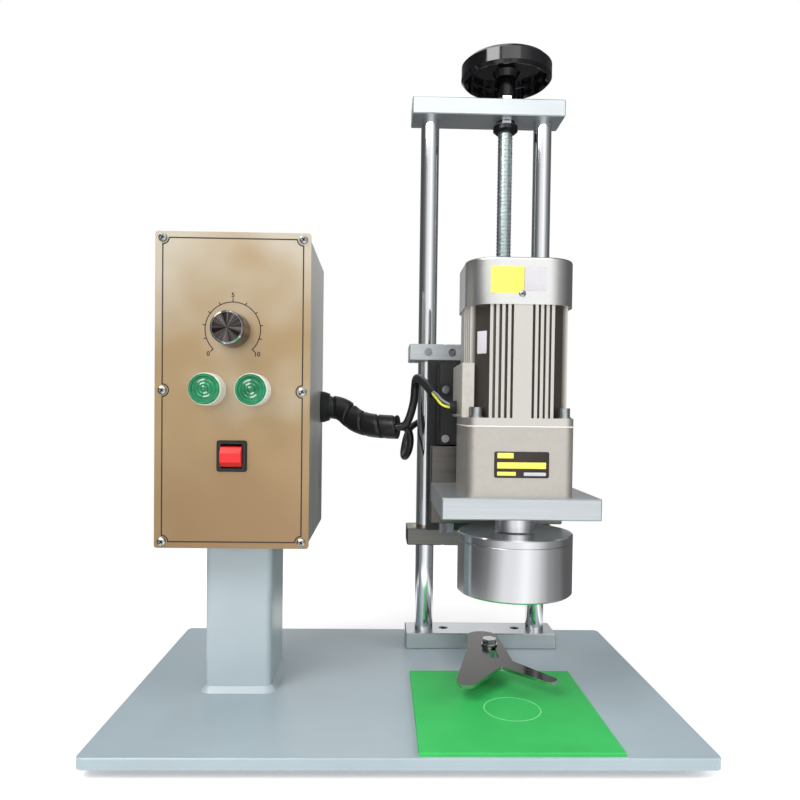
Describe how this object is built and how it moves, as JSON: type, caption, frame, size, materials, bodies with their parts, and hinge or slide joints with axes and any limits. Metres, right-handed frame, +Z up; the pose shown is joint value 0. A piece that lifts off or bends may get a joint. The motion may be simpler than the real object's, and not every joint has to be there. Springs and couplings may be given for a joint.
{
  "type": "bottle capping machine",
  "caption": "Bench bottle capping machine with a control box on a post, a two-column screw lift, a gearmotor with a turned capping head and a fork over a green mat.",
  "frame": {"origin": "on the floor under the middle of the base plate, where the rubber feet stand", "axes": "+Z up, +X to the operator's right, -Y towards the operator"},
  "size_m": [0.485, 0.315, 0.6585],
  "materials": {
    "frame_paint": "satin blue-grey paint",
    "box_paint": "satin dark grey paint",
    "stainless": "brushed stainless sheet",
    "hard_chrome": "ground and chromed",
    "zinc_steel": "bright zinc plated",
    "dark_steel": "blackened steel",
    "milled_aluminium": "milled and clear anodised",
    "turned_aluminium": "fine turned",
    "cast_aluminium": "die cast, grey",
    "brass": "turned",
    "black_plastic": "moulded",
    "gloss_black": "moulded, glossy",
    "grey_plastic": "moulded",
    "white_plastic": "moulded",
    "green_lens": "translucent lens",
    "red_plastic": "moulded",
    "mat_rubber": "smooth green sheet",
    "black_rubber": "moulded",
    "cable_sheath": "flexible sheath"
  },
  "bodies": {
    "stand": {"base_plate": "frame_paint", "rubber_feet": "black_rubber", "bottle_mat": "mat_rubber", "control_post": "frame_paint", "box_housing": "box_paint", "front_panel": "stainless", "panel_screws": "zinc_steel", "potentiometer": "zinc_steel", "button_bodies": "white_plastic", "rocker_housing": "gloss_black", "speed_controller": "black_plastic", "mains_inlet": "black_plastic", "cable_gland": "black_rubber", "foot_block": "milled_aluminium", "stand_screws": "dark_steel", "columns": "hard_chrome", "top_plate": "milled_aluminium", "screw_bearing": "brass", "bottle_fork": "stainless", "fork_fasteners": "zinc_steel", "cable_trunk": "cable_sheath"},
    "handwheel": {"handwheel": "gloss_black", "lock_nuts": "hard_chrome", "lead_screw": "zinc_steel", "screw_collar": "dark_steel"},
    "carriage": {"upper_block": "milled_aluminium", "lower_block": "milled_aluminium", "carriage_plate": "milled_aluminium", "lead_nut": "brass", "column_bushes": "brass", "carriage_screws": "zinc_steel", "guide_rails": "hard_chrome", "stroke_gear_case": "grey_plastic", "stroke_motor": "black_plastic", "stroke_lead": "cable_sheath"},
    "stroke_drive": {"stroke_screw": "zinc_steel"},
    "head": {"slide_plate": "milled_aluminium", "runner_blocks": "dark_steel", "motor_plate": "milled_aluminium", "plate_screws": "dark_steel", "gearbox": "cast_aluminium", "gearbox_bolts": "zinc_steel", "motor_body": "cast_aluminium", "fan_cover": "cast_aluminium", "lead_box": "grey_plastic", "wire_grommet": "black_rubber", "motor_lead": "cable_sheath"},
    "spindle": {"output_shaft": "zinc_steel", "output_gear": "dark_steel", "chuck_lid": "turned_aluminium", "chuck_body": "turned_aluminium", "chuck_pad": "black_rubber"},
    "layshaft": {"lay_gears": "dark_steel"},
    "rotor": {"motor_rotor": "dark_steel", "cooling_fan": "black_plastic"},
    "knob": {"speed_knob": "black_plastic", "potentiometer_shaft": "zinc_steel"},
    "button_left": {"button_cap_left": "green_lens"},
    "button_right": {"button_cap_right": "green_lens"},
    "rocker": {"rocker_key": "red_plastic"}
  },
  "joints": [
    {"name": "handwheel_spin", "type": "hinge", "parent": "stand", "child": "handwheel", "pos_m": [0.1145, 0.108, 0.6], "axis": [0, 0, 1], "range_deg": [-4970, 18020]},
    {"name": "carriage_lift", "type": "slide", "parent": "stand", "child": "carriage", "axis": [0, 0, 1], "range_m": [-0.055, 0.2]},
    {"name": "stroke_screw_spin", "type": "hinge", "parent": "carriage", "child": "stroke_drive", "pos_m": [0.0977, 0.0355, 0.25], "axis": [0, 0, 1], "range_deg": [-2260, 10]},
    {"name": "head_stroke", "type": "slide", "parent": "carriage", "child": "head", "axis": [0, 0, 1], "range_m": [-0.025, 0]},
    {"name": "rotor_spin", "type": "hinge", "parent": "head", "child": "rotor", "pos_m": [0.0977, -0.0492, 0.3], "axis": [0, 0, 1], "continuous": true},
    {"name": "layshaft_spin", "type": "hinge", "parent": "head", "child": "layshaft", "pos_m": [0.11642, -0.06168, 0.23], "axis": [0, 0, 1], "continuous": true},
    {"name": "spindle_spin", "type": "hinge", "parent": "head", "child": "spindle", "pos_m": [0.0977, -0.0712, 0.15], "axis": [0, 0, 1], "continuous": true},
    {"name": "knob_turn", "type": "hinge", "parent": "stand", "child": "knob", "pos_m": [-0.147, -0.0652, 0.343], "axis": [0, 1, 0], "range_deg": [-195, 75]},
    {"name": "button_left_press", "type": "slide", "parent": "stand", "child": "button_left", "axis": [0, 1, 0], "range_m": [0, 0.003], "stiffness_N_per_m": 300, "springref_m": -0.002},
    {"name": "button_right_press", "type": "slide", "parent": "stand", "child": "button_right", "axis": [0, 1, 0], "range_m": [0, 0.003], "stiffness_N_per_m": 300, "springref_m": -0.002},
    {"name": "rocker_tilt", "type": "hinge", "parent": "stand", "child": "rocker", "pos_m": [-0.147, -0.0652, 0.235], "axis": [1, 0, 0], "range_deg": [-16, 0]}
  ],
  "couplings": [
    {"joint": "handwheel_spin", "follows": "carriage_lift", "rad_per_m": 1570.8},
    {"joint": "stroke_screw_spin", "follows": "head_stroke", "rad_per_m": 1570.8},
    {"joint": "layshaft_spin", "follows": "rotor_spin", "ratio": -0.25},
    {"joint": "spindle_spin", "follows": "rotor_spin", "ratio": 0.1}
  ]
}
